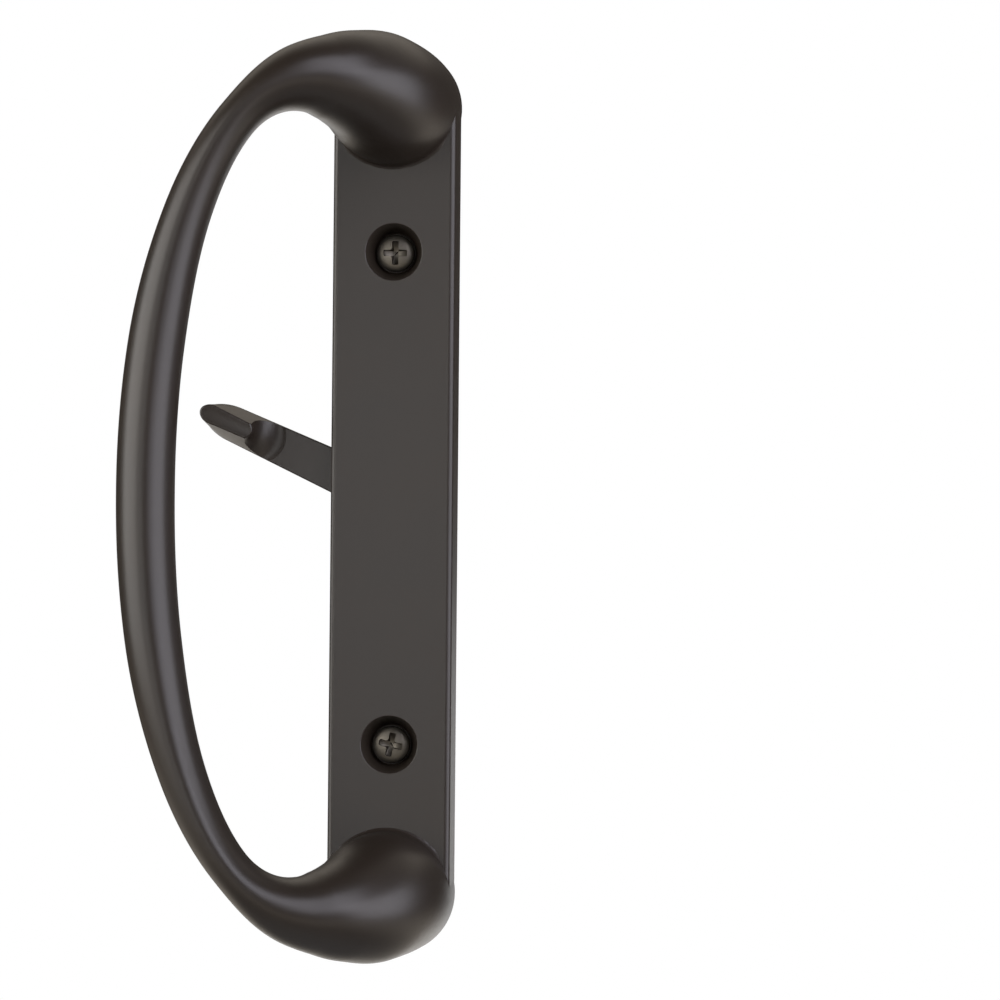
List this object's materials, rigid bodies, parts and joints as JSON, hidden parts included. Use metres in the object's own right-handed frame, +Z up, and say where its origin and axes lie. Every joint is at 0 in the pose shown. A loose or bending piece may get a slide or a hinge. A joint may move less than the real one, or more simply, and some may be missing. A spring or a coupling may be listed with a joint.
{
  "type": "sliding door handle",
  "caption": "Cast D-shaped pull on a flat base plate for a sliding patio door, with a thumb lever that turns the lock's tailpiece and recessed mounting screws.",
  "frame": {"origin": "on the door face, midway between the two mounting screws", "axes": "+Z up along the base plate, +Y into the door, +X to the right as seen from inside the room; the pull stands out towards -Y and bends to the left"},
  "size_m": [0.0641, 0.0933, 0.188],
  "materials": {
    "coated_casting": "satin dark bronze powder coat on zinc die-casting",
    "coated_lever": "satin dark bronze powder coat on zinc die-casting",
    "plated_blade": "zinc plated",
    "spring_steel": "bare spring steel",
    "plated_strip": "zinc plated",
    "plated_screws": "zinc plated",
    "black_screws": "black oxide on steel"
  },
  "bodies": {
    "handle": {"pull_handle": "coated_casting", "mounting_screws": "black_screws", "spring_washer": "spring_steel", "retainer_plate": "plated_strip", "retainer_screws": "plated_screws"},
    "lever": {"latch_lever": "coated_lever", "tailpiece": "plated_blade"}
  },
  "joints": [
    {"name": "lever_turn", "type": "hinge", "parent": "handle", "child": "lever", "pos_m": [0, 0, 0], "axis": [0, 1, 0], "range_deg": [-49, 0]}
  ]
}
